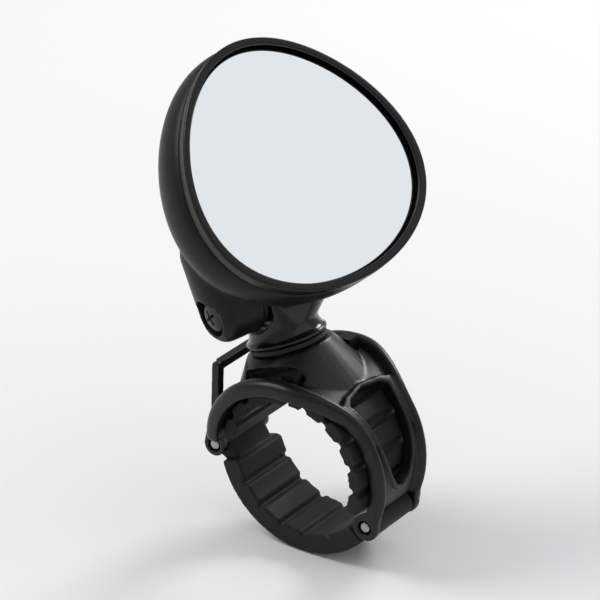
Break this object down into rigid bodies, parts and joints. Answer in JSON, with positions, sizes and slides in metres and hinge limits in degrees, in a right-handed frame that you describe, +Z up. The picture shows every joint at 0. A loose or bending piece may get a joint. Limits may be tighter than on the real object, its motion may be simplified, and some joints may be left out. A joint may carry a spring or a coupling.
{
  "type": "bike mirror",
  "caption": "Small clip-on bike mirror: an egg-shaped glass in a deep black shell, on a turning and tilting neck over a ribbed rubber band clamp.",
  "frame": {"origin": "on the axis of the clamped tube, at the middle of the clamp's width", "axes": "+Y along the clamped tube, away from the side the glass faces; +Z up as fitted on a level handlebar; the neck leans 20 degrees from +Z towards -X"},
  "size_m": [0.0456, 0.0406, 0.0828],
  "materials": {
    "satin_black_plastic": "satin moulded black",
    "gloss_black_plastic": "polished black",
    "black_rubber": "matte black",
    "mirror": "silvered, pale",
    "steel": "plain",
    "black_steel": "blackened",
    "nylon": "black nylon",
    "foam_tape": "foam, matte"
  },
  "bodies": {
    "base": {"base_frame": "satin_black_plastic", "grip_pad_saddle": "black_rubber", "grip_pad_long": "black_rubber", "pad_plug_front": "satin_black_plastic", "pad_plug_rear": "satin_black_plastic", "strap": "black_rubber", "anchor_pin": "steel", "clasp_pin": "steel"},
    "clasp": {"clasp_loop": "satin_black_plastic"},
    "neck": {"neck": "gloss_black_plastic", "swivel_disc": "nylon", "swivel_washer": "steel", "swivel_screw": "black_steel", "pivot_screw": "black_steel", "pivot_spring_washer": "steel", "pivot_nut": "steel", "friction_washer": "nylon"},
    "head": {"head_shell": "satin_black_plastic", "bezel_ring": "satin_black_plastic", "mirror_glass": "mirror", "adhesive_pad": "foam_tape", "backing_plate": "satin_black_plastic"}
  },
  "joints": [
    {"name": "neck_swivel", "type": "hinge", "parent": "base", "child": "neck", "pos_m": [0, 0, 0], "axis": [-0.342, 0, 0.9397], "continuous": true},
    {"name": "head_tilt", "type": "hinge", "parent": "neck", "child": "head", "pos_m": [-0.00965, 0, 0.0265], "axis": [0.3413, 0.9317, 0.1242], "range_deg": [-60, 10]},
    {"name": "clasp_swing", "type": "hinge", "parent": "base", "child": "clasp", "pos_m": [-0.0173, 0, -0.00182], "axis": [0, -1, 0], "range_deg": [0, 110]}
  ]
}
